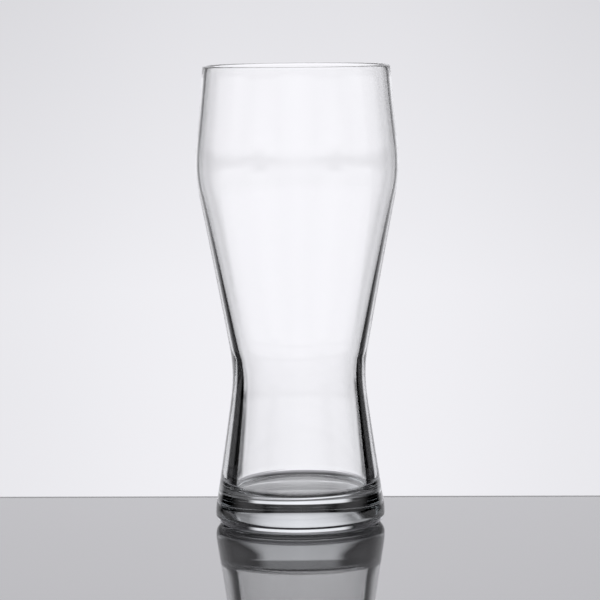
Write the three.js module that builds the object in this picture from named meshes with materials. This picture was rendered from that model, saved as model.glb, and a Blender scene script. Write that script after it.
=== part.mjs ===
// A clear glass pint tumbler with a heavy foot, a narrow waist and a full belly.
//
// The whole object is one piece of glass: press-and-blow forming makes the foot, the wall and the lip
// from a single gob, so the model is one solid of revolution about the Z axis.
//
// Units are millimetres, +Z is up, and the origin is the centre of the circle it stands on.

import * as THREE from 'three';

// ---- Driving dimensions -------------------------------------------------------------------------

const HEIGHT = 188;

// Outside: straight runs that meet at four turning points. Each turning point is [radius, height],
// and the straight runs are joined there by an arc of the given radius.
const HEEL_CORNER = [34.7, 0];
const FOOT_CORNER = [34.78, 6.4];
const OUTER_WAIST_CORNER = [26.42, 62.5];
const OUTER_BELLY_CORNER = [42.15, 146.2];
const RIM_OUTER_RADIUS = 38.25;
const LIP_RISE = 1.0;
const LIP_BASE = HEIGHT - LIP_RISE;

const HEEL_RADIUS = 4.2;
const FOOT_RADIUS = 24;
const OUTER_WAIST_RADIUS = 64;
const OUTER_BELLY_RADIUS = 68;

// Inside: the same idea. The wall is thickest over the foot and thinnest at the belly.
const FLOOR_HEIGHT = 13.6;
const FLOOR_DISHING = 0.3;
const FLOOR_CORNER = [27.25, FLOOR_HEIGHT + FLOOR_DISHING];
const INNER_WAIST_CORNER = [22.72, 61.2];
const INNER_BELLY_CORNER = [40.68, 145.0];
const RIM_INNER_RADIUS = 36.45;

const FLOOR_CORNER_RADIUS = 3.0;
const INNER_WAIST_RADIUS = 56;
const INNER_BELLY_RADIUS = 60;

// Underside: a flat ring carries the glass, and the middle is pushed up clear of the table.
const BEARING_RING_INNER_RADIUS = 28.6;
const BEARING_RING_STEP_RADIUS = 27.8;
const BEARING_RING_STEP = 0.12;
const PUSH_UP_HEIGHT = 0.3;

// ---- Fineness of the faceted solid --------------------------------------------------------------

const SEGMENTS_AROUND = 64;
const HEEL_STEPS = 6;
const FOOT_STEPS = 3;
const TURN_STEPS = 7;
const FLOOR_CORNER_STEPS = 5;
const LIP_STEPS = 6;
const DOME_STEPS = 4;

// ---- Outline helpers ----------------------------------------------------------------------------

// The arc of the given radius that rounds the corner between two straight runs.
function roundedCorner(before, corner, after, radius, steps) {
  const apex = new THREE.Vector2(...corner);
  const towardsBefore = new THREE.Vector2(...before).sub(apex).normalize();
  const towardsAfter = new THREE.Vector2(...after).sub(apex).normalize();
  const halfAngle = Math.acos(towardsBefore.dot(towardsAfter)) / 2;
  const bisector = towardsBefore.clone().add(towardsAfter).normalize();
  const centre = apex.clone().addScaledVector(bisector, radius / Math.sin(halfAngle));
  const tangentLength = radius / Math.tan(halfAngle);
  const start = apex.clone().addScaledVector(towardsBefore, tangentLength).sub(centre);
  const end = apex.clone().addScaledVector(towardsAfter, tangentLength).sub(centre);
  const sweep = Math.atan2(start.cross(end), start.dot(end));
  const points = [];
  for (let i = 0; i <= steps; i += 1) {
    const spoke = start.clone().rotateAround(new THREE.Vector2(), (sweep * i) / steps);
    points.push(centre.clone().add(spoke));
  }
  return points;
}

// A shallow dome, as a parabola from radius `from` to radius `to` between two heights. Its crown is
// on the axis, and both ends are left in the list.
function dome(fromRadius, toRadius, edgeRadius, crownHeight, edgeHeight) {
  const points = [];
  for (let i = 0; i <= DOME_STEPS; i += 1) {
    const radius = THREE.MathUtils.lerp(fromRadius, toRadius, i / DOME_STEPS);
    const fall = (radius / edgeRadius) ** 2;
    points.push(new THREE.Vector2(radius, THREE.MathUtils.lerp(crownHeight, edgeHeight, fall)));
  }
  return points;
}

// The fire-polished lip: half an ellipse from the outer edge over the top to the inner edge.
function lip() {
  const halfWall = (RIM_OUTER_RADIUS - RIM_INNER_RADIUS) / 2;
  const middle = RIM_INNER_RADIUS + halfWall;
  const points = [];
  for (let i = 0; i <= LIP_STEPS; i += 1) {
    const angle = (Math.PI * i) / LIP_STEPS;
    points.push(new THREE.Vector2(middle + halfWall * Math.cos(angle), LIP_BASE + LIP_RISE * Math.sin(angle)));
  }
  return points;
}

// ---- The glass ----------------------------------------------------------------------------------

const bearingEdge = [BEARING_RING_INNER_RADIUS, 0];
const rimOuter = [RIM_OUTER_RADIUS, LIP_BASE];
const rimInner = [RIM_INNER_RADIUS, LIP_BASE];
const floorCentre = [0, FLOOR_CORNER[1]];

// From the middle of the underside, out and up the outside, over the lip, and down the inside.
const outline = [
  ...dome(0, BEARING_RING_STEP_RADIUS, BEARING_RING_STEP_RADIUS, PUSH_UP_HEIGHT, BEARING_RING_STEP),
  new THREE.Vector2(...bearingEdge),
  ...roundedCorner(bearingEdge, HEEL_CORNER, FOOT_CORNER, HEEL_RADIUS, HEEL_STEPS),
  ...roundedCorner(HEEL_CORNER, FOOT_CORNER, OUTER_WAIST_CORNER, FOOT_RADIUS, FOOT_STEPS),
  ...roundedCorner(FOOT_CORNER, OUTER_WAIST_CORNER, OUTER_BELLY_CORNER, OUTER_WAIST_RADIUS, TURN_STEPS),
  ...roundedCorner(OUTER_WAIST_CORNER, OUTER_BELLY_CORNER, rimOuter, OUTER_BELLY_RADIUS, TURN_STEPS),
  ...lip(),
  ...roundedCorner(rimInner, INNER_BELLY_CORNER, INNER_WAIST_CORNER, INNER_BELLY_RADIUS, TURN_STEPS),
  ...roundedCorner(INNER_BELLY_CORNER, INNER_WAIST_CORNER, FLOOR_CORNER, INNER_WAIST_RADIUS, TURN_STEPS),
  ...roundedCorner(INNER_WAIST_CORNER, FLOOR_CORNER, floorCentre, FLOOR_CORNER_RADIUS, FLOOR_CORNER_STEPS),
  new THREE.Vector2(0, FLOOR_HEIGHT),
];

const geometry = new THREE.LatheGeometry(outline, SEGMENTS_AROUND);
geometry.rotateX(Math.PI / 2);

const clearGlass = new THREE.MeshStandardMaterial({ color: 0xe9eef0, roughness: 0.02, metalness: 0 });

const glassBody = new THREE.Mesh(geometry, clearGlass);
glassBody.name = 'glass_body';

const pintGlass = new THREE.Group();
pintGlass.add(glassBody);

export default pintGlass;
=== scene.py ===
"""Looks of a clear glass pint tumbler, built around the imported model.

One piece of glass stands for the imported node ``glass_body``. It is a surface of revolution that keeps the
marks of forming: a heavy foot, a mould seam that sits a little out of level, a cavity that is not quite
central, runs of wall that bow slightly inwards, and a fire-polished lip. It stands on a gloss board, in a
pale studio glow whose bright panels leave dark gaps, so that the edges of the glass draw dark lines.

Lengths in the classes are millimetres, and ``MM`` turns them into the metres of the scene.
"""

import logging
import math
from dataclasses import dataclass
from enum import Enum

import bpy
import numpy as np
from mathutils import Euler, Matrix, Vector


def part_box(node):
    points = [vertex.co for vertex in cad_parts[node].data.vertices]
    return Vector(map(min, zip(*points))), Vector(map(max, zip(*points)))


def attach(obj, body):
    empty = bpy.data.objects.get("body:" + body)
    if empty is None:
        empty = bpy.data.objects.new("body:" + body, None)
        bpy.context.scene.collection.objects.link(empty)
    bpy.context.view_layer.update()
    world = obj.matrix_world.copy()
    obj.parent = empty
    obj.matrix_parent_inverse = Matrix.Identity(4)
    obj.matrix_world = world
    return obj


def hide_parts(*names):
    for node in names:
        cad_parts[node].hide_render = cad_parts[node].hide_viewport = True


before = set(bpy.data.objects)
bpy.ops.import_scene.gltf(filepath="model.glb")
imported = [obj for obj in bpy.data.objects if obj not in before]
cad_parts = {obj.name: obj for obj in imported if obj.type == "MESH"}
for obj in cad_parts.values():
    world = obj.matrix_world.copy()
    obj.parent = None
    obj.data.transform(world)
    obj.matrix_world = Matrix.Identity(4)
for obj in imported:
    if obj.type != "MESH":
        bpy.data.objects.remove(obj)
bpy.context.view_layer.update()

MM = 0.001
BOARD_BACK = 62.2        # millimetres from the glass's axis to the board's back edge
BOARD_YAW = math.radians(-2.5)
EIGHTH_TURN = 45.0       # degrees
HAZE_DETAIL = 3.0
HAZE_RANGE = (0.35, 0.7)
MOST_PASSES = 24
MOST_GLOSSY_TURNS = 16
log = logging.getLogger("pint_glass")


# ---- Outlines ---------------------------------------------------------------------------------------


def rounded_corner(
    before: np.ndarray, corner: np.ndarray, after: np.ndarray, radius: float, steps: int
) -> np.ndarray:
    """Rounds the corner between two straight runs.

    The arc's centre lies on the bisector of the corner, at the radius over the sine of half its angle,
    and the arc turns from one tangent point to the other in equal steps.

    Args:
        before: a point on the run that comes in, as (radius, height).
        corner: where the two runs would meet.
        after: a point on the run that goes out.
        radius: the arc's radius.
        steps: how many equal steps the arc has.

    Returns:
        The arc's points, one row each, both tangent points included.
    """
    towards_before = (before - corner) / np.linalg.norm(before - corner)
    towards_after = (after - corner) / np.linalg.norm(after - corner)
    half_angle = math.acos(float(towards_before @ towards_after)) / 2
    bisector = towards_before + towards_after
    bisector = bisector / np.linalg.norm(bisector)
    centre = corner + bisector * radius / math.sin(half_angle)
    reach = radius / math.tan(half_angle)
    start = corner + towards_before * reach - centre
    end = corner + towards_after * reach - centre
    sweep = math.atan2(start[0] * end[1] - start[1] * end[0], float(start @ end))
    turn = sweep * np.arange(steps + 1) / steps
    x = start[0] * np.cos(turn) - start[1] * np.sin(turn)
    y = start[0] * np.sin(turn) + start[1] * np.cos(turn)
    return centre + np.stack([x, y], axis=1)


def bowed_run(start: np.ndarray, end: np.ndarray, bow: float, steps: int) -> np.ndarray:
    """Fills the run between two points of an outline.

    A point at share t of the run is the straight line's point, moved across the line by four times the
    bow times t times one less t, so the bow is greatest in the middle.

    Args:
        start: the run's first point, as (radius, height).
        end: its last point.
        bow: how far the middle moves towards the axis.
        steps: how many steps the run has.

    Returns:
        The points between the two ends, which are left out.
    """
    share = (np.arange(1, steps) / steps)[:, None]
    line = start + (end - start) * share
    inwards = np.array([-1.0, 0.0])
    return line + inwards * bow * 4 * share * (1 - share)


def parabola(crown: float, edge: float, radius: float, radii: np.ndarray) -> np.ndarray:
    """A shallow dome: height goes from crown to edge with the square of radius over the edge's radius.

    Args:
        crown: height on the axis.
        edge: height at the edge.
        radius: the edge's radius.
        radii: where to work out the dome.

    Returns:
        The dome's points, as rows of (radius, height).
    """
    return np.stack([radii, crown + (edge - crown) * (radii / radius) ** 2], axis=1)


# ---- Meshes -----------------------------------------------------------------------------------------


def skin(name: str, rings: np.ndarray, first: np.ndarray, last: np.ndarray) -> bpy.types.Object:
    """Makes a closed smooth mesh from rings of points and one pole at each end.

    Neighbouring rings are joined by four-sided faces, and each pole is joined to its ring by triangles.

    Args:
        name: the object's name.
        rings: points as (ring, place round the ring, coordinate), in metres.
        first: the pole before the first ring.
        last: the pole after the last ring.

    Returns:
        The new object, linked to the scene.
    """
    count, around = rings.shape[:2]
    points = np.concatenate([rings.reshape(-1, 3), [first], [last]])
    index = np.arange(count * around).reshape(count, around)
    onward = np.roll(index, -1, axis=1)
    quads = np.stack([index[:-1], onward[:-1], onward[1:], index[1:]], axis=-1).reshape(-1, 4)
    first_pole, last_pole = count * around, count * around + 1
    first_fan = np.stack([np.full(around, first_pole), onward[0], index[0]], axis=-1)
    last_fan = np.stack([np.full(around, last_pole), index[-1], onward[-1]], axis=-1)
    mesh = bpy.data.meshes.new(name)
    mesh.from_pydata(points.tolist(), [], quads.tolist() + first_fan.tolist() + last_fan.tolist())
    mesh.polygons.foreach_set("use_smooth", np.ones(len(mesh.polygons), dtype=bool))
    mesh.update()
    piece = bpy.data.objects.new(name, mesh)
    bpy.context.scene.collection.objects.link(piece)
    return piece


# ---- Shader sheets ----------------------------------------------------------------------------------


class Blend(Enum):
    """How a range of values is carried over to another."""

    STRAIGHT = "LINEAR"
    SOFT = "SMOOTHSTEP"


class Sheet:
    """A node tree, with short ways to add the nodes that the finishes use."""

    def __init__(self, tree: bpy.types.NodeTree) -> None:
        """Takes the tree that the nodes go into."""
        self.tree = tree

    def add(self, kind: str, **settings: object) -> bpy.types.Node:
        """Adds a node of a kind and sets its own settings."""
        node = self.tree.nodes.new(kind)
        for name, value in settings.items():
            setattr(node, name, value)
        return node

    def feed(self, socket: bpy.types.NodeSocket, value: object) -> None:
        """Links a socket to an output, or sets it to a plain value."""
        if isinstance(value, bpy.types.NodeSocket):
            self.tree.links.new(value, socket)
        else:
            socket.default_value = value

    def maths(self, operation: str, *values: object) -> bpy.types.NodeSocket:
        """Adds a Math node.

        Args:
            operation: the node's operation, such as ADD.
            values: one to three outputs or numbers.

        Returns:
            The result.
        """
        node = self.add("ShaderNodeMath", operation=operation)
        for socket, value in zip(node.inputs, values):
            self.feed(socket, value)
        return node.outputs[0]

    def carry(
        self,
        value: object,
        source: tuple[float, float],
        target: tuple[float, float],
        blend: Blend = Blend.SOFT,
    ) -> bpy.types.NodeSocket:
        """Carries a value from one range to another, and holds it at the ends.

        Args:
            value: an output or a number.
            source: the range that it comes from.
            target: the range that it goes to.
            blend: straight, or soft at both ends.

        Returns:
            The result.
        """
        node = self.add("ShaderNodeMapRange", interpolation_type=blend.value)
        ends = (value, *source, *target)
        for name, end in zip(("Value", "From Min", "From Max", "To Min", "To Max"), ends):
            self.feed(node.inputs[name], end)
        return node.outputs["Result"]

    def mixed(self, share: object, one: object, other: object) -> bpy.types.NodeSocket:
        """Mixes two numbers: one where share is 0, and the other where it is 1."""
        node = self.add("ShaderNodeMix", data_type="FLOAT")
        for name, value in (("Factor", share), ("A", one), ("B", other)):
            self.feed(node.inputs[name], value)
        return node.outputs["Result"]

    def at_least(self, count: object, least: int) -> bpy.types.NodeSocket:
        """Gives 1 where a whole number is at least so many, and 0 elsewhere."""
        return self.maths("GREATER_THAN", count, least - 0.5)

    def raise_bump(self, shader: bpy.types.Node, height: bpy.types.NodeSocket, depth: float) -> None:
        """Feeds a shader's normal with a bump of a height pattern, so deep in metres."""
        bump = self.add("ShaderNodeBump")
        self.feed(bump.inputs["Height"], height)
        self.feed(bump.inputs["Strength"], 1.0)
        self.feed(bump.inputs["Distance"], depth)
        self.feed(shader.inputs["Normal"], bump.outputs["Normal"])


def haze_group() -> bpy.types.NodeTree:
    """The group for faint unevenness of a polished surface, built once and placed in each finish.

    Its inputs are the pattern's place, the size of its clouds, and the least and the greatest value. It
    puts out a roughness between those two, and a height between 0 and 1 from the same clouds.
    """
    name = "polish haze"
    found = bpy.data.node_groups.get(name)
    if found is not None:
        return found
    tree = bpy.data.node_groups.new(name, "ShaderNodeTree")
    for label, kind in (
        ("Place", "NodeSocketVector"),
        ("Scale", "NodeSocketFloat"),
        ("Least", "NodeSocketFloat"),
        ("Greatest", "NodeSocketFloat"),
    ):
        tree.interface.new_socket(name=label, in_out="INPUT", socket_type=kind)
    for label in ("Roughness", "Height"):
        tree.interface.new_socket(name=label, in_out="OUTPUT", socket_type="NodeSocketFloat")
    sheet = Sheet(tree)
    given = sheet.add("NodeGroupInput")
    result = sheet.add("NodeGroupOutput")
    clouds = sheet.add("ShaderNodeTexNoise", noise_dimensions="3D")
    sheet.feed(clouds.inputs["Vector"], given.outputs["Place"])
    sheet.feed(clouds.inputs["Scale"], given.outputs["Scale"])
    sheet.feed(clouds.inputs["Detail"], HAZE_DETAIL)
    share = sheet.carry(clouds.outputs["Fac"], HAZE_RANGE, (0.0, 1.0))
    roughness = sheet.mixed(share, given.outputs["Least"], given.outputs["Greatest"])
    sheet.feed(result.inputs["Roughness"], roughness)
    sheet.feed(result.inputs["Height"], clouds.outputs["Fac"])
    return tree


@dataclass(frozen=True)
class Finish:
    """What every finish has: a name, and how uneven its polish is."""

    name: str
    haze_scale: float
    least_roughness: float
    greatest_roughness: float

    def start(self) -> tuple[bpy.types.Material, Sheet, bpy.types.Node]:
        """Makes an empty material.

        Returns:
            The material, its sheet, and its main shader, linked to the output.
        """
        material = bpy.data.materials.new(self.name)
        material.use_nodes = True
        material.node_tree.nodes.clear()
        sheet = Sheet(material.node_tree)
        shader = sheet.add("ShaderNodeBsdfPrincipled")
        output = sheet.add("ShaderNodeOutputMaterial")
        sheet.feed(output.inputs["Surface"], shader.outputs["BSDF"])
        return material, sheet, shader

    def place(self, sheet: Sheet, stretch: tuple[float, float, float] = (1, 1, 1)) -> bpy.types.NodeSocket:
        """The object's own coordinates, stretched along each axis."""
        own = sheet.add("ShaderNodeTexCoord")
        mapping = sheet.add("ShaderNodeMapping")
        sheet.feed(mapping.inputs["Vector"], own.outputs["Object"])
        sheet.feed(mapping.inputs["Scale"], stretch)
        return mapping.outputs["Vector"]

    def haze(self, sheet: Sheet, place: bpy.types.NodeSocket) -> bpy.types.Node:
        """Places the haze group with this finish's own values."""
        node = sheet.add("ShaderNodeGroup", node_tree=haze_group())
        sheet.feed(node.inputs["Place"], place)
        sheet.feed(node.inputs["Scale"], self.haze_scale)
        sheet.feed(node.inputs["Least"], self.least_roughness)
        sheet.feed(node.inputs["Greatest"], self.greatest_roughness)
        return node


@dataclass(frozen=True)
class ClearGlass(Finish):
    """Fire-polished clear glass: faint upright cords from the gob, and a slight body colour by depth."""

    name: str = "clear_glass"
    haze_scale: float = 60.0
    least_roughness: float = 0.0
    greatest_roughness: float = 0.012
    index: float = 1.52
    cord_scale: float = 30.0
    cord_detail: float = 1.0
    cord_stretch: tuple[float, float, float] = (1.0, 1.0, 0.12)
    cord_depth: float = 0.00002
    body_colour: tuple[float, float, float, float] = (0.9, 0.93, 0.94, 1.0)
    body_density: float = 12.0

    def build(self) -> bpy.types.Material:
        """Builds the material: clear shader, haze in its polish, cords as bump, and absorption inside."""
        material, sheet, shader = self.start()
        haze = self.haze(sheet, self.place(sheet))
        sheet.feed(shader.inputs["Base Color"], (1.0, 1.0, 1.0, 1.0))
        sheet.feed(shader.inputs["Transmission Weight"], 1.0)
        sheet.feed(shader.inputs["IOR"], self.index)
        sheet.feed(shader.inputs["Roughness"], haze.outputs["Roughness"])
        cords = sheet.add("ShaderNodeTexNoise")
        sheet.feed(cords.inputs["Vector"], self.place(sheet, self.cord_stretch))
        sheet.feed(cords.inputs["Scale"], self.cord_scale)
        sheet.feed(cords.inputs["Detail"], self.cord_detail)
        sheet.raise_bump(shader, cords.outputs["Fac"], self.cord_depth)
        depth = sheet.add("ShaderNodeVolumeAbsorption")
        sheet.feed(depth.inputs["Color"], self.body_colour)
        sheet.feed(depth.inputs["Density"], self.body_density)
        output = next(n for n in sheet.tree.nodes if n.type == "OUTPUT_MATERIAL")
        sheet.feed(output.inputs["Volume"], depth.outputs["Volume"])
        return material


@dataclass(frozen=True)
class GlossBoard(Finish):
    """A polished pale board that mirrors what is behind the glass when it is seen at a low angle."""

    name: str = "gloss_board"
    haze_scale: float = 9.0
    least_roughness: float = 0.02
    greatest_roughness: float = 0.035
    index: float = 1.95
    steep_shade: float = 0.5
    low_shade: float = 0.02
    low_facing: tuple[float, float] = (0.62, 0.8)
    # painted shadow under the glass: the radii from the axis over which it fades out, in metres, and its grey
    # level
    painted_shadow_falloff: tuple[float, float] = (0.042, 0.056)
    painted_shadow_grey: float = 0.06
    tint: tuple[float, float] = (0.99, 1.04)
    worn_edge: tuple[float, float] = (0.0062, 0.0012)
    worn_roughness: float = 0.5
    ripple: float = 0.00002

    def worn(self, sheet: Sheet, place: bpy.types.NodeSocket) -> bpy.types.NodeSocket:
        """The roughness that wear adds near the back edge, from the distance to that edge's line.

        Args:
            sheet: the material's sheet.
            place: the object's own coordinates.

        Returns:
            The added roughness.
        """
        along = sheet.add("ShaderNodeVectorMath", operation="DOT_PRODUCT")
        sheet.feed(along.inputs[0], place)
        sheet.feed(along.inputs[1], (-math.sin(BOARD_YAW), math.cos(BOARD_YAW), 0.0))
        from_edge = sheet.maths("SUBTRACT", BOARD_BACK * MM, along.outputs["Value"])
        return sheet.carry(from_edge, self.worn_edge, (0.0, self.worn_roughness))

    def shade(self, sheet: Sheet, place: bpy.types.NodeSocket) -> bpy.types.NodeSocket:
        """The shade under the gloss: pale from above, dark at a low angle, and a painted shadow near the axis
        through glass.

        Args:
            sheet: the material's sheet.
            place: the object's own coordinates.

        Returns:
            The shade, as a grey level.
        """
        facing = sheet.add("ShaderNodeLayerWeight")
        shades = (self.steep_shade, self.low_shade)
        open_shade = sheet.carry(facing.outputs["Facing"], self.low_facing, shades)
        flattened = sheet.add("ShaderNodeVectorMath", operation="MULTIPLY")
        sheet.feed(flattened.inputs[0], place)
        sheet.feed(flattened.inputs[1], (1.0, 1.0, 0.0))
        away = sheet.add("ShaderNodeVectorMath", operation="LENGTH")
        sheet.feed(away.inputs[0], flattened.outputs["Vector"])
        # painted shadow: seen through the glass, the board is drawn dark near the glass's axis
        painted_shadow_falloff = sheet.carry(away.outputs["Value"], self.painted_shadow_falloff, (1.0, 0.0))
        path = sheet.add("ShaderNodeLightPath")
        through_glass = sheet.at_least(path.outputs["Transmission Depth"], 1)
        painted_shadow_mask = sheet.maths("MULTIPLY", through_glass, painted_shadow_falloff)
        return sheet.mixed(painted_shadow_mask, open_shade, self.painted_shadow_grey)

    def build(self) -> bpy.types.Material:
        """Builds the material: its shade with a painted shadow under the glass, under an uneven gloss worn
        dull at the back edge.
        """
        material, sheet, shader = self.start()
        haze = self.haze(sheet, self.place(sheet))
        own = sheet.add("ShaderNodeTexCoord").outputs["Object"]
        roughness = sheet.maths("ADD", haze.outputs["Roughness"], self.worn(sheet, own))
        sheet.feed(shader.inputs["Roughness"], roughness)
        sheet.feed(shader.inputs["IOR"], self.index)
        sheet.raise_bump(shader, haze.outputs["Height"], self.ripple)
        shade = self.shade(sheet, own)
        green, blue = self.tint
        colour = sheet.add("ShaderNodeCombineColor")
        sheet.feed(colour.inputs["Red"], shade)
        sheet.feed(colour.inputs["Green"], sheet.maths("MULTIPLY", shade, green))
        sheet.feed(colour.inputs["Blue"], sheet.maths("MULTIPLY", shade, blue))
        sheet.feed(shader.inputs["Base Color"], colour.outputs["Color"])
        return material


# ---- The glass --------------------------------------------------------------------------------------


@dataclass
class PintGlass:
    """The whole glass, as one closed skin of revolution. Lengths are millimetres at the size of the model."""

    node: str = "glass_body"
    height: float = 188.0
    heel_corner: tuple[float, float] = (34.7, 0.0)
    foot_corner: tuple[float, float] = (34.78, 6.4)
    outer_waist: tuple[float, float] = (26.42, 62.5)
    outer_belly: tuple[float, float] = (42.15, 146.2)
    rim_outer: float = 38.25
    heel_round: float = 4.2
    foot_round: float = 24.0
    outer_waist_round: float = 64.0
    outer_belly_round: float = 68.0
    floor_corner: tuple[float, float] = (27.25, 13.9)
    floor_centre: float = 13.6
    inner_waist: tuple[float, float] = (22.72, 61.2)
    inner_belly: tuple[float, float] = (40.68, 145.0)
    rim_inner: float = 36.45
    floor_round: float = 3.0
    inner_waist_round: float = 56.0
    inner_belly_round: float = 60.0
    lip_rise: float = 1.0
    bearing_inner: float = 28.6
    bearing_step: float = 0.12
    bearing_slope: float = 0.8
    step_round: float = 0.5
    bearing_round: float = 0.4
    push_up: float = 0.3
    run_bow: float = 0.12
    seam_height: float = 14.9
    seam_proud: float = 0.06
    seam_width: float = 0.35
    seam_tilt: float = math.radians(1.0)
    seam_reach: float = 9.0
    cavity_shift: float = 0.4
    cavity_shift_ends: tuple[float, float] = (42.0, 78.0)
    seam_span: float = 3.0
    seam_points: int = 13
    end_gap: float = 1.0
    dome_points: int = 8
    bearing_steps: int = 3
    heel_steps: int = 16
    foot_steps: int = 6
    turn_steps: int = 18
    floor_steps: int = 14
    floor_points: int = 10
    run_steps: int = 12
    low_run_steps: int = 10
    rim_run_steps: int = 8
    lip_points: int = 15
    around: int = 440

    def scale(self) -> float:
        """Metres for each of the class's millimetres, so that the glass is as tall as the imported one."""
        low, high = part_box(self.node)
        return (high.z - low.z) / self.height

    def outside(self) -> np.ndarray:
        """The outline from the middle of the underside up to the lip's outer edge.

        Returns:
            Rows of (radius, height), without the point on the axis.
        """
        heel, foot = np.array(self.heel_corner), np.array(self.foot_corner)
        waist, belly = np.array(self.outer_waist), np.array(self.outer_belly)
        rim = np.array([self.rim_outer, self.height - self.lip_rise])
        step = np.array([self.bearing_inner - self.bearing_slope, self.bearing_step])
        ring = np.array([self.bearing_inner, 0.0])
        dome_radii = np.linspace(self.end_gap, step[0] - self.end_gap, self.dome_points)
        dome = parabola(self.push_up, self.bearing_step, step[0], dome_radii)
        step_arc = rounded_corner(dome[-1], step, ring, self.step_round, self.bearing_steps)
        ring_arc = rounded_corner(step, ring, heel, self.bearing_round, self.bearing_steps)
        heel_arc = rounded_corner(ring, heel, foot, self.heel_round, self.heel_steps)
        foot_arc = rounded_corner(heel, foot, waist, self.foot_round, self.foot_steps)
        waist_arc = rounded_corner(foot, waist, belly, self.outer_waist_round, self.turn_steps)
        belly_arc = rounded_corner(waist, belly, rim, self.outer_belly_round, self.turn_steps)
        foot_run = bowed_run(foot_arc[-1], waist_arc[0], self.run_bow, self.run_steps)
        across_seam = np.linspace(-self.seam_span, self.seam_span, self.seam_points)
        heights = np.union1d(foot_run[:, 1], self.seam_height + self.seam_width * across_seam)
        foot_run = np.stack([np.interp(heights, foot_run[:, 1], foot_run[:, 0]), heights], axis=1)
        return np.concatenate([
            dome,
            step_arc,
            ring_arc,
            heel_arc,
            foot_arc,
            foot_run,
            waist_arc,
            bowed_run(waist_arc[-1], belly_arc[0], self.run_bow, self.run_steps),
            belly_arc,
            bowed_run(belly_arc[-1], rim, self.run_bow, self.rim_run_steps),
        ])

    def lip(self) -> np.ndarray:
        """The fire-polished lip: half an ellipse from its outer edge over the top to its inner edge."""
        angle = np.linspace(0.0, math.pi, self.lip_points)
        half_wall = (self.rim_outer - self.rim_inner) / 2
        radius = self.rim_inner + half_wall + half_wall * np.cos(angle)
        return np.stack([radius, self.height - self.lip_rise + self.lip_rise * np.sin(angle)], axis=1)

    def inside(self) -> np.ndarray:
        """The outline from below the lip's inner edge down to the middle of the floor.

        Returns:
            Rows of (radius, height), without the point on the axis.
        """
        belly, waist, corner = map(np.array, (self.inner_belly, self.inner_waist, self.floor_corner))
        rim = np.array([self.rim_inner, self.height - self.lip_rise])
        centre = np.array([0.0, self.floor_corner[1]])
        belly_arc = rounded_corner(rim, belly, waist, self.inner_belly_round, self.turn_steps)
        waist_arc = rounded_corner(belly, waist, corner, self.inner_waist_round, self.turn_steps)
        floor_arc = rounded_corner(waist, corner, centre, self.floor_round, self.floor_steps)
        floor_radii = np.linspace(floor_arc[-1, 0] - self.end_gap, self.end_gap, self.floor_points)
        return np.concatenate([
            bowed_run(rim, belly_arc[0], self.run_bow, self.rim_run_steps),
            belly_arc,
            bowed_run(belly_arc[-1], waist_arc[0], self.run_bow, self.run_steps),
            waist_arc,
            bowed_run(waist_arc[-1], floor_arc[0], self.run_bow, self.low_run_steps),
            floor_arc,
            parabola(self.floor_centre, floor_arc[-1, 1], floor_arc[-1, 0], floor_radii),
        ])

    def rings(self) -> np.ndarray:
        """Carries the outline round the axis, with the marks of forming.

        A point at angle a is its radius times the cosine and the sine of a, at its own height. Near the
        seam the outer wall's points rise with the tilt times their x, along the wall, and the seam stands
        proud by a bell curve of its distance. The inner wall's points are moved aside by the cavity's
        shift at their height.

        Returns:
            Points as (ring, place round the ring, coordinate), in metres.
        """
        outside, lip, inside = self.outside(), self.lip(), self.inside()
        outline = np.concatenate([outside, lip, inside])
        outer = np.concatenate([np.ones(len(outside)), np.zeros(len(lip) + len(inside))])
        inner = np.concatenate([np.zeros(len(outside)), np.linspace(0, 1, len(lip)), np.ones(len(inside))])
        radius, height = outline[:, :1], outline[:, 1:]
        angle = 2 * math.pi * np.arange(self.around)[None, :] / self.around
        from_seam = height - self.seam_height
        above_heel = outer[:, None] * (height > self.heel_round)
        near_seam = np.exp(-((from_seam / self.seam_reach) ** 2)) * above_heel
        rise = math.tan(self.seam_tilt) * radius * np.cos(angle) * near_seam
        foot, waist = self.foot_corner, self.outer_waist
        slope = (waist[0] - foot[0]) / (waist[1] - foot[1])
        proud = self.seam_proud * np.exp(-((from_seam / self.seam_width) ** 2)) * outer[:, None]
        full = radius + proud + slope * rise
        low, high = self.cavity_shift_ends
        up = np.clip((height - low) / (high - low), 0.0, 1.0)
        shift = self.cavity_shift * (1 - up * up * (3 - 2 * up))
        x = full * np.cos(angle) + inner[:, None] * shift
        y = full * np.sin(angle)
        z = height + rise
        return np.stack([x, y, np.broadcast_to(z, x.shape)], axis=-1) * self.scale()

    def build(self) -> bpy.types.Object:
        """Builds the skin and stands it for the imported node.

        Returns:
            The glass.
        """
        bottom = np.array([0.0, 0.0, self.push_up]) * self.scale()
        floor = np.array([self.cavity_shift, 0.0, self.floor_centre]) * self.scale()
        glass = skin("pint_glass", self.rings(), bottom, floor)
        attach(glass, "root")
        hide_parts(self.node)
        return glass

    def dress(self, glass: bpy.types.Object, finish: ClearGlass) -> None:
        """Gives the glass its finish."""
        glass.data.materials.append(finish.build())


# ---- The studio -------------------------------------------------------------------------------------


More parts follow.
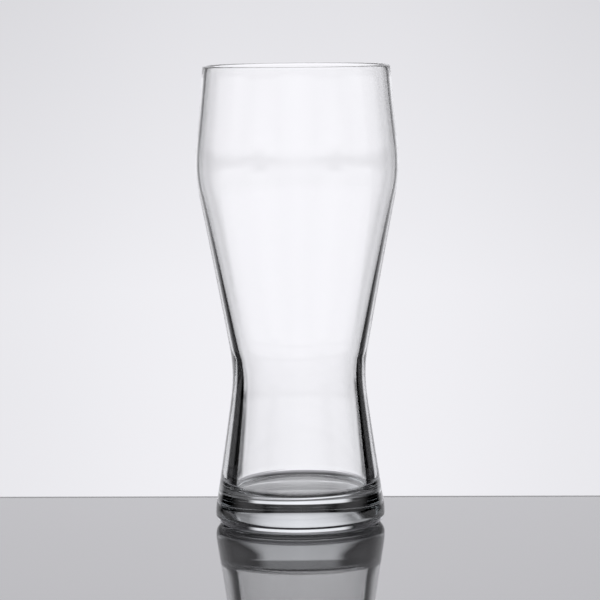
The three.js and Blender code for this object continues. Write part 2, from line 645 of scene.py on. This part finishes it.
@dataclass
class Board:
    """The gloss board that the glass stands on: a slab with softened edges. Lengths are millimetres."""

    half_width: float = 1600.0
    front: float = 1600.0
    back: float = BOARD_BACK
    yaw: float = BOARD_YAW
    corner: float = 6.0
    thickness: float = 6.0
    edge_round: float = 0.8
    face_inset: float = 3.0
    corner_steps: int = 8
    edge_steps: int = 8

    def plan(self, inset: np.ndarray) -> np.ndarray:
        """The slab's outline from above, a rectangle with round corners, drawn in by each inset.

        Each corner is a quarter circle about its own centre, of the corner radius less the inset.

        Args:
            inset: how far each ring is drawn in.

        Returns:
            Points as (ring, place round the ring, x or y).
        """
        turn = np.linspace(0.0, math.pi / 2, self.corner_steps + 1)
        quarters = turn[None, :] + (math.pi / 2) * np.arange(4)[:, None]
        right, left = self.half_width - self.corner, -self.half_width + self.corner
        back, front = self.back - self.corner, -self.front + self.corner
        centre_x = np.array([right, left, left, right])[:, None]
        centre_y = np.array([back, back, front, front])[:, None]
        reach = (self.corner - inset)[:, None, None]
        x = centre_x + reach * np.cos(quarters)
        y = centre_y + reach * np.sin(quarters)
        return np.stack([x.reshape(len(inset), -1), y.reshape(len(inset), -1)], axis=-1)

    def build(self, finish: GlossBoard) -> bpy.types.Object:
        """Builds the slab: a rounded edge profile carried round the plan, closed above and below.

        Args:
            finish: the board's finish.

        Returns:
            The board.
        """
        turn = np.linspace(0.0, math.pi / 2, self.edge_steps + 1)
        over = self.edge_round * (1 - np.sin(turn))
        down = self.edge_round * (1 - np.cos(turn))
        flat = np.array([self.face_inset])
        inset = np.concatenate([flat, over, over[::-1], flat])
        height = np.concatenate([[0.0], -down, -self.thickness + down[::-1], [-self.thickness]])
        plan = self.plan(inset)
        heights = np.broadcast_to(height[:, None, None], plan.shape[:2] + (1,))
        rings = np.concatenate([plan, heights], axis=-1)[::-1] * MM
        cosine, sine = math.cos(self.yaw), math.sin(self.yaw)
        rings[..., :2] = rings[..., :2] @ np.array([[cosine, sine], [-sine, cosine]])
        middle = rings[0, :, :2].mean(axis=0)
        below = np.array([*middle, -self.thickness * MM])
        board = skin("gloss_board", rings, below, np.array([*middle, 0.0]))
        board.data.materials.append(finish.build())
        return board


@dataclass
class SoftLight:
    """Pale studio light, as the world's own glow. Angles are degrees, and shades are linear.

    Seen straight, it is one pale tone that falls off a little upwards and sideways. Light that the glass
    bends or mirrors finds bright panels with dark gaps, as black cards beside the glass would make them:

    - straight through, a panel at each of four sides and, lower down, at each corner;
    - turned once in the glass and rising, all four sides, and the corners where it rises steeply;
    - turned in the glass otherwise, the back panel with its grey skirt, and the other sides dimmed;
    - only mirrored, or turned and then through a second wall, the back panel and, higher up, all round.

    Dull surfaces are lit evenly.
    """

    seen: tuple[float, float] = (0.885, 0.77)
    seen_fall: tuple[float, float] = (-0.1, 0.0)
    side_fall: float = 0.07
    side_fall_from: tuple[float, float] = (1.0, 7.0)
    bright: float = 1.0
    bright_edge: tuple[float, float] = (15.0, 24.0)
    bright_slope: float = 0.007
    open_edge: tuple[float, float] = (21.0, 29.0)
    grey: float = 0.03
    grey_edge: tuple[float, float] = (40.0, 44.0)
    widening_from: tuple[float, float] = (0.0, 10.0)
    widening: float = 21.0
    high_from: tuple[float, float] = (-6.0, 46.0)
    high_share: float = 0.45
    plain_through: tuple[float, float] = (6.5, 12.0)
    plain_through_share: float = 0.02
    steep_corner_share: float = 0.4
    mirrored_high: tuple[float, float] = (30.0, 46.0)
    mirrored_high_share: float = 0.22
    rising_from: tuple[float, float] = (5.0, 13.0)
    rising_share: float = 1.45
    corner_edge: tuple[float, float] = (18.0, 26.0)
    corner_start: tuple[float, float] = (-13.0, -10.0)
    mirrored_edge: tuple[float, float] = (30.0, 46.0)
    turned_high: tuple[float, float] = (25.0, 45.0)
    turned_high_share: float = 0.12
    sides_from: tuple[float, float] = (0.0, 4.0)
    corners_from: tuple[float, float] = (5.0, 9.0)
    steep_from: tuple[float, float] = (11.0, 14.0)
    steep_ahead: tuple[float, float] = (80.0, 100.0)
    front_edge: tuple[float, float] = (145.0, 168.0)
    front_share: float = 0.85
    dimmed: float = 0.08
    turned_share: float = 0.35
    fill: float = 0.9
    top: float = 0.15
    top_edge: tuple[float, float] = (50.0, 65.0)
    tone: tuple[float, float, float] = (0.995, 0.99, 1.03)

    def panel(self, sheet: Sheet, away: object, edge: tuple[object, object]) -> bpy.types.NodeSocket:
        """A bright panel with soft edges: bright where the angle away from its middle is small."""
        middle = sheet.maths("SUBTRACT", self.bright, sheet.maths("MULTIPLY", away, self.bright_slope))
        return sheet.maths("MULTIPLY", middle, sheet.carry(away, edge, (1.0, 0.0)))

    def from_quarters(
        self, sheet: Sheet, azimuth: object
    ) -> tuple[bpy.types.NodeSocket, bpy.types.NodeSocket]:
        """The angles from the nearest of four sides, and from the nearest of four corners."""
        from_side = sheet.maths("PINGPONG", azimuth, EIGHTH_TURN)
        return from_side, sheet.maths("SUBTRACT", EIGHTH_TURN, from_side)

    def seen_level(self, sheet: Sheet, azimuth: object, z: object) -> bpy.types.NodeSocket:
        """The tone seen straight, from the direction's height and its angle from the nearest eighth turn."""
        level = sheet.carry(z, self.seen_fall, self.seen, Blend.STRAIGHT)
        aside = sheet.maths("PINGPONG", azimuth, EIGHTH_TURN / 2)
        return sheet.maths("SUBTRACT", level, sheet.carry(aside, self.side_fall_from, (0.0, self.side_fall)))

    def mirrored_level(self, sheet: Sheet, azimuth: object, elevation: object) -> bpy.types.NodeSocket:
        """The tone that mirrored light finds: one panel low down, and all round higher up.

        Args:
            sheet: the world's sheet.
            azimuth: angle round from +Y, without its sign.
            elevation: angle above the level.

        Returns:
            The level.
        """
        from_side, from_corner = self.from_quarters(sheet, azimuth)
        back = self.panel(sheet, azimuth, self.mirrored_edge)
        sides = self.panel(sheet, from_side, self.mirrored_edge)
        corners = self.panel(sheet, from_corner, self.mirrored_edge)
        sides = sheet.maths("MULTIPLY", sides, sheet.carry(elevation, self.sides_from, (0.0, 1.0)))
        corners = sheet.maths("MULTIPLY", corners, sheet.carry(elevation, self.corners_from, (0.0, 1.0)))
        level = sheet.maths("MAXIMUM", back, sheet.maths("MAXIMUM", sides, corners))
        return sheet.maths("MULTIPLY", level, sheet.carry(azimuth, self.front_edge, (1.0, self.front_share)))

    def straight_level(self, sheet: Sheet, azimuth: object, elevation: object) -> bpy.types.NodeSocket:
        """The tone that light finds straight through the glass: four sides and, low down, four corners.

        Args:
            sheet: the world's sheet.
            azimuth: angle round from +Y, without its sign.
            elevation: angle above the level.

        Returns:
            The level.
        """
        from_side, from_corner = self.from_quarters(sheet, azimuth)
        corners = self.panel(sheet, from_corner, self.corner_edge)
        low = sheet.carry(elevation, self.corner_start, (1.0, 0.0))
        sides = self.panel(sheet, from_side, self.open_edge)
        return sheet.maths("MAXIMUM", sides, sheet.maths("MULTIPLY", corners, low))

    def turned_level(
        self, sheet: Sheet, azimuth: object, elevation: object, turned_again: object
    ) -> bpy.types.NodeSocket:
        """The tone that light finds after it has turned inside the glass.

        Light that turned once and rises finds all four sides, and the corners where it rises steeply. The
        rest finds the back panel, its grey skirt and dimmed sides, and less of them if it turned again.

        Args:
            sheet: the world's sheet.
            azimuth: angle round from +Y, without its sign.
            elevation: angle above the level.
            turned_again: 1 where the light has turned twice or more, and 0 elsewhere.

        Returns:
            The level.
        """
        from_side, from_corner = self.from_quarters(sheet, azimuth)
        near_edge, far_edge = self.bright_edge
        widened = sheet.carry(elevation, self.widening_from, (far_edge, far_edge + self.widening))
        sides = self.panel(sheet, from_side, (near_edge, widened))
        back = self.panel(sheet, azimuth, (near_edge, widened))
        corners = self.panel(sheet, from_corner, self.corner_edge)

        skirt = sheet.carry(azimuth, self.grey_edge, (self.grey, 0.0))
        inner = sheet.maths("MAXIMUM", back, sheet.maths("MULTIPLY", sides, self.dimmed))
        inner = sheet.maths("ADD", inner, skirt)
        below = sheet.maths("LESS_THAN", elevation, 0.0)
        again = sheet.maths("MULTIPLY", turned_again, below)
        inner = sheet.maths("MULTIPLY", inner, sheet.mixed(again, 1.0, self.turned_share))

        steep = sheet.carry(elevation, self.steep_from, (0.0, self.steep_corner_share))
        ahead = sheet.carry(azimuth, self.steep_ahead, (0.0, 1.0))
        steep = sheet.mixed(ahead, steep, sheet.carry(elevation, self.corners_from, (0.0, 1.0)))
        upper = sheet.maths("MAXIMUM", sides, sheet.maths("MULTIPLY", corners, steep))
        once = sheet.maths("SUBTRACT", 1.0, turned_again)
        rising_once = sheet.maths("MULTIPLY", once, sheet.carry(elevation, self.sides_from, (0.0, 1.0)))
        inner = sheet.mixed(rising_once, inner, upper)
        high_up = sheet.carry(elevation, self.turned_high, (1.0, self.turned_high_share))
        return sheet.maths("MULTIPLY", inner, sheet.mixed(turned_again, 1.0, high_up))

    def bent_level(
        self, sheet: Sheet, path: bpy.types.Node, azimuth: object, elevation: object
    ) -> bpy.types.NodeSocket:
        """The tone that bent and mirrored light finds, by how often it has passed a face and turned.

        Light that has passed no face was only mirrored. With one or two passes it has been in one wall,
        with three or four it has crossed to a second, and with more it has gone further.

        Args:
            sheet: the world's sheet.
            path: the node that counts the light's passes and turns.
            azimuth: angle round from +Y, without its sign.
            elevation: angle above the level.

        Returns:
            The level.
        """
        passes, turns = path.outputs["Transmission Depth"], path.outputs["Glossy Depth"]
        entered, crossed, recrossed = (sheet.at_least(passes, least) for least in (1, 3, 5))
        turned, turned_again = (sheet.at_least(turns, least) for least in (1, 2))
        mirrored = self.mirrored_level(sheet, azimuth, elevation)
        straight = self.straight_level(sheet, azimuth, elevation)
        inner = self.turned_level(sheet, azimuth, elevation, turned_again)
        high = sheet.carry(elevation, self.high_from, (1.0, self.high_share))

        low_only = sheet.carry(elevation, self.plain_through, (1.0, self.plain_through_share))
        plain = sheet.maths("MULTIPLY", straight, low_only)
        through = sheet.mixed(turned, plain, sheet.maths("MULTIPLY", inner, high))
        once_more = sheet.carry(elevation, self.mirrored_high, (1.0, self.mirrored_high_share))
        beyond = sheet.mixed(turned, straight, sheet.maths("MULTIPLY", mirrored, once_more))
        beyond = sheet.maths("MULTIPLY", beyond, sheet.mixed(recrossed, 1.0, high))
        level = sheet.mixed(crossed, through, beyond)
        rising = sheet.carry(elevation, self.rising_from, (1.0, self.rising_share), Blend.STRAIGHT)
        level = sheet.mixed(entered, sheet.maths("MULTIPLY", mirrored, rising), level)
        overhead = sheet.carry(elevation, self.top_edge, (0.0, self.top))
        overhead = sheet.maths("MULTIPLY", overhead, sheet.mixed(turned_again, 1.0, self.turned_high_share))
        return sheet.maths("ADD", level, overhead)

    def build(self) -> None:
        """Builds the world's glow as a function of direction and of how the light came there."""
        world = bpy.data.worlds.new("soft_light")
        bpy.context.scene.world = world
        world.use_nodes = True
        world.node_tree.nodes.clear()
        sheet = Sheet(world.node_tree)
        direction = sheet.add("ShaderNodeTexCoord")
        split = sheet.add("ShaderNodeSeparateXYZ")
        sheet.feed(split.inputs[0], direction.outputs["Generated"])
        x, y, z = split.outputs
        azimuth = sheet.maths("ABSOLUTE", sheet.maths("DEGREES", sheet.maths("ARCTAN2", x, y)))
        elevation = sheet.maths("DEGREES", sheet.maths("ARCSINE", z))
        path = sheet.add("ShaderNodeLightPath")
        level = self.bent_level(sheet, path, azimuth, elevation)
        level = sheet.mixed(path.outputs["Is Diffuse Ray"], level, self.fill)
        level = sheet.mixed(path.outputs["Is Camera Ray"], level, self.seen_level(sheet, azimuth, z))
        glow = sheet.add("ShaderNodeBackground")
        sheet.feed(glow.inputs["Color"], (*self.tone, 1.0))
        sheet.feed(glow.inputs["Strength"], level)
        output = sheet.add("ShaderNodeOutputWorld")
        sheet.feed(output.inputs["Surface"], glow.outputs["Background"])


@dataclass
class ViewCamera:
    """The camera: a long lens, a little above the rim, looking slightly down. Sizes go with the glass."""

    lens: float = 176.22
    sensor: float = 36.0
    stand_off: float = 6.3654
    eye_level: float = 1.15137
    pitch: float = math.radians(-5.94)
    roll: float = math.radians(-0.55)
    aside: float = 0.65

    def build(self, height: float) -> bpy.types.Object:
        """Places the camera.

        Args:
            height: the glass's height in metres, which the stand-off and the eye level are shares of.

        Returns:
            The camera, which is also the scene's.
        """
        data = bpy.data.cameras.new("view_camera")
        data.lens = self.lens
        data.sensor_width = self.sensor
        camera = bpy.data.objects.new("view_camera", data)
        bpy.context.scene.collection.objects.link(camera)
        camera.location = (self.aside * MM, -self.stand_off * height, self.eye_level * height)
        camera.rotation_euler = Euler((math.pi / 2 + self.pitch, 0.0, 0.0), "XYZ")
        camera.rotation_mode = "QUATERNION"
        upright = camera.rotation_euler.to_quaternion()
        camera.rotation_quaternion = upright @ Euler((0, 0, self.roll)).to_quaternion()
        bpy.context.scene.camera = camera
        return camera


def settle_light_paths() -> None:
    """Lets light turn often enough inside the thick foot, and shows plain tones."""
    scene = bpy.context.scene
    scene.cycles.max_bounces = MOST_PASSES
    scene.cycles.transmission_bounces = MOST_PASSES
    scene.cycles.glossy_bounces = MOST_GLOSSY_TURNS
    scene.view_settings.view_transform = "Standard"


def main() -> None:
    """Builds the glass, the board, the light and the camera, in that order."""
    logging.basicConfig(level=logging.INFO, format="%(name)s: %(message)s")
    pint = PintGlass()
    glass = pint.build()
    pint.dress(glass, ClearGlass())
    log.info("%s: %d faces, stands for %s", glass.name, len(glass.data.polygons), pint.node)
    board = Board().build(GlossBoard())
    log.info("%s: %d faces, stage", board.name, len(board.data.polygons))
    SoftLight().build()
    low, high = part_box(pint.node)
    camera = ViewCamera().build(high.z - low.z)
    log.info("%s: %.0f mm lens", camera.name, camera.data.lens)
    settle_light_paths()


if __name__ == "__main__":
    main()
